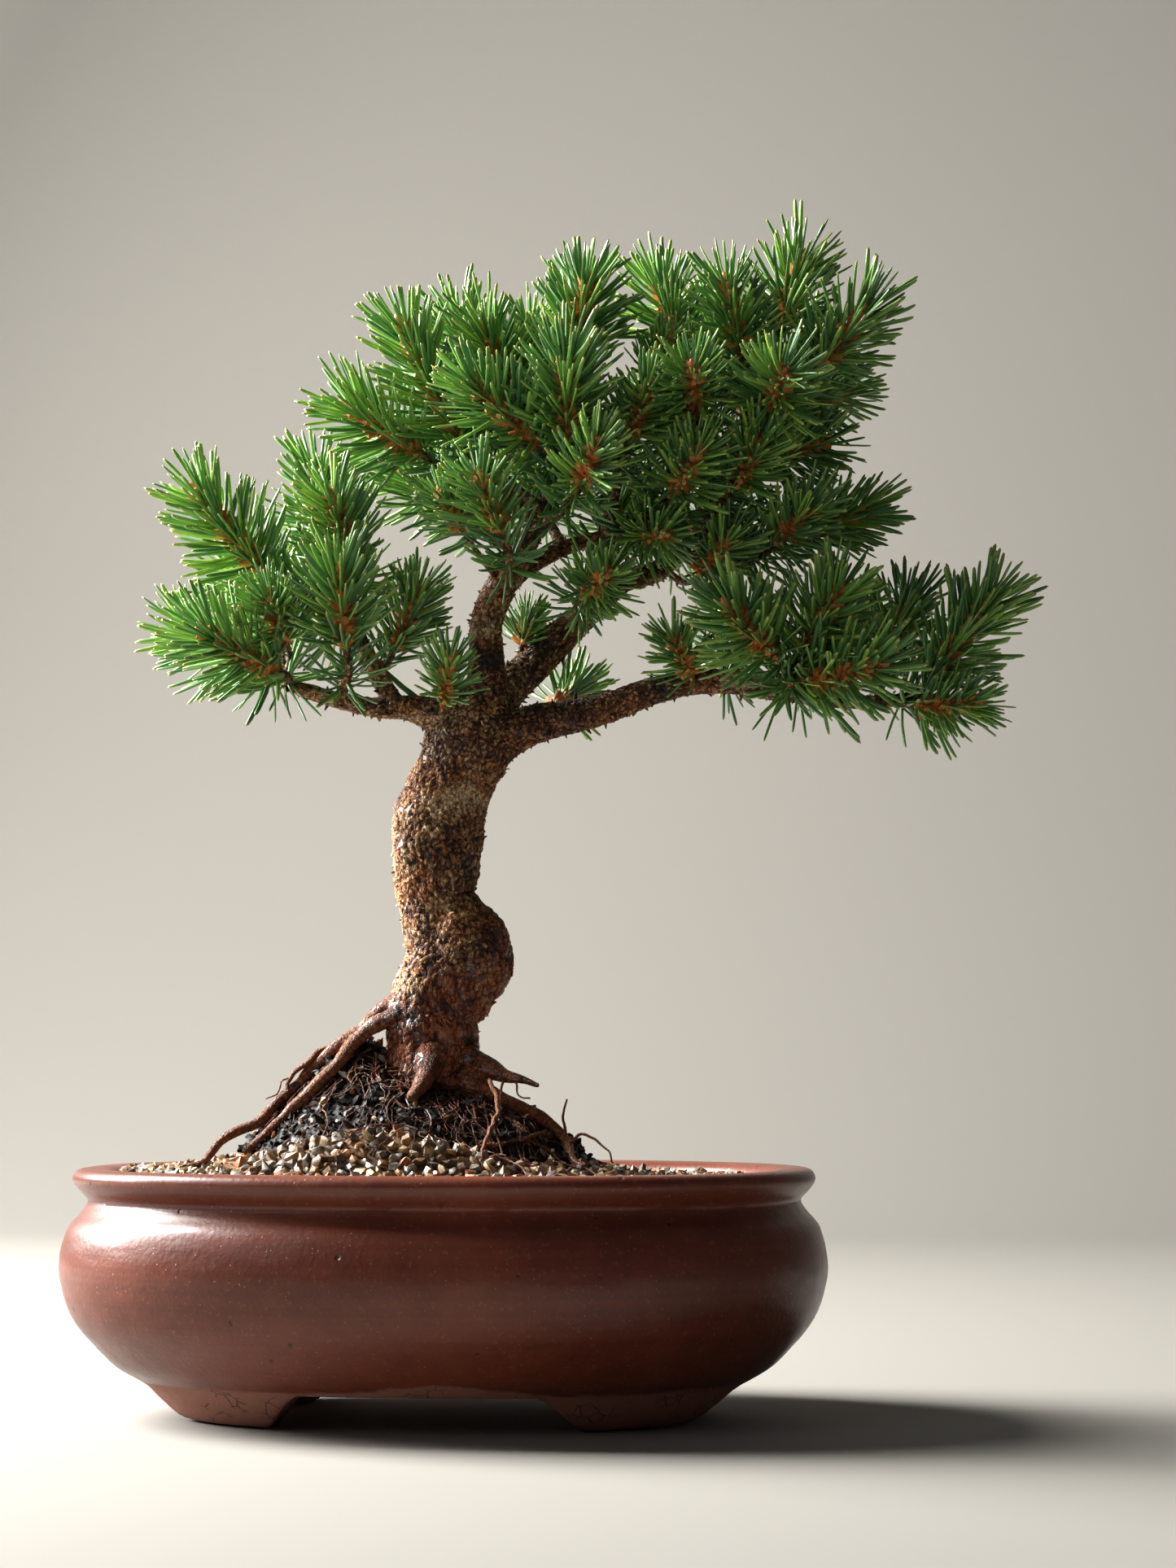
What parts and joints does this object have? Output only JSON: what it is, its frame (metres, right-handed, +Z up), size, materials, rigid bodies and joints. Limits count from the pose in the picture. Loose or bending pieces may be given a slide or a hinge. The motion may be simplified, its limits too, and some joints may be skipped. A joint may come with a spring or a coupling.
{
  "type": "bonsai tree in a pot",
  "caption": "Small potted pine bonsai: leaning trunk with spreading roots, limbs with dense needle shoots, on a soil mound with gravel in an oval footed stoneware pot.",
  "frame": {"origin": "middle of the whole object's box, on the surface that the pot's feet stand on", "axes": "+Z up, +X along the pot's long side towards the long right-hand branch, -Y towards the viewer's side of the tree"},
  "size_m": [0.3068, 0.1772, 0.3808],
  "materials": {
    "pot_glaze": "satin red-brown glaze with fine pale specks",
    "bare_clay": "matte unglazed clay",
    "bark": "rough flaky bark, wet and red-brown near the roots",
    "pine_needle": "waxy green needles",
    "bud_scale": "papery orange-brown scales",
    "dark_soil": "damp crumbs",
    "gravel_stone": "wet rounded grains of mixed colour",
    "drain_plastic": "matte",
    "clip_wire": "satin"
  },
  "bodies": {
    "root": {"pot": "pot_glaze", "soil": "dark_soil", "root_ball": "dark_soil", "gravel": "gravel_stone", "drain_mesh_left": "drain_plastic", "drain_mesh_right": "drain_plastic", "drain_clip_left": "clip_wire", "drain_clip_right": "clip_wire", "trunk": "bark", "shoot_left_1": "pine_needle", "shoot_left_2": "pine_needle", "shoot_left_3": "pine_needle", "shoot_left_4": "pine_needle", "shoot_left_5": "pine_needle", "shoot_left_6": "pine_needle", "shoot_left_7": "pine_needle", "shoot_left_8": "pine_needle", "shoot_left_9": "pine_needle", "shoot_middle_1": "pine_needle", "shoot_middle_2": "pine_needle", "shoot_middle_3": "pine_needle", "shoot_middle_4": "pine_needle", "shoot_middle_5": "pine_needle", "shoot_middle_6": "pine_needle", "shoot_middle_7": "pine_needle", "shoot_middle_8": "pine_needle", "shoot_middle_9": "pine_needle", "shoot_middle_10": "pine_needle", "shoot_middle_11": "pine_needle", "shoot_middle_12": "pine_needle", "shoot_middle_13": "pine_needle", "shoot_middle_14": "pine_needle", "shoot_middle_15": "pine_needle", "shoot_top_1": "pine_needle", "shoot_top_2": "pine_needle", "shoot_top_3": "pine_needle", "shoot_top_4": "pine_needle", "shoot_top_5": "pine_needle", "shoot_top_6": "pine_needle", "shoot_top_7": "pine_needle", "shoot_top_8": "pine_needle", "shoot_top_9": "pine_needle", "shoot_top_10": "pine_needle", "shoot_top_11": "pine_needle", "shoot_top_12": "pine_needle", "shoot_top_13": "pine_needle", "shoot_right_1": "pine_needle", "shoot_right_2": "pine_needle", "shoot_right_3": "pine_needle", "shoot_right_4": "pine_needle", "shoot_right_5": "pine_needle", "shoot_right_6": "pine_needle", "shoot_right_7": "pine_needle", "shoot_right_8": "pine_needle", "shoot_right_9": "pine_needle", "shoot_right_10": "pine_needle", "shoot_low_1": "pine_needle", "shoot_low_2": "pine_needle", "shoot_low_3": "pine_needle", "shoot_low_4": "pine_needle"}
  },
  "joints": []
}
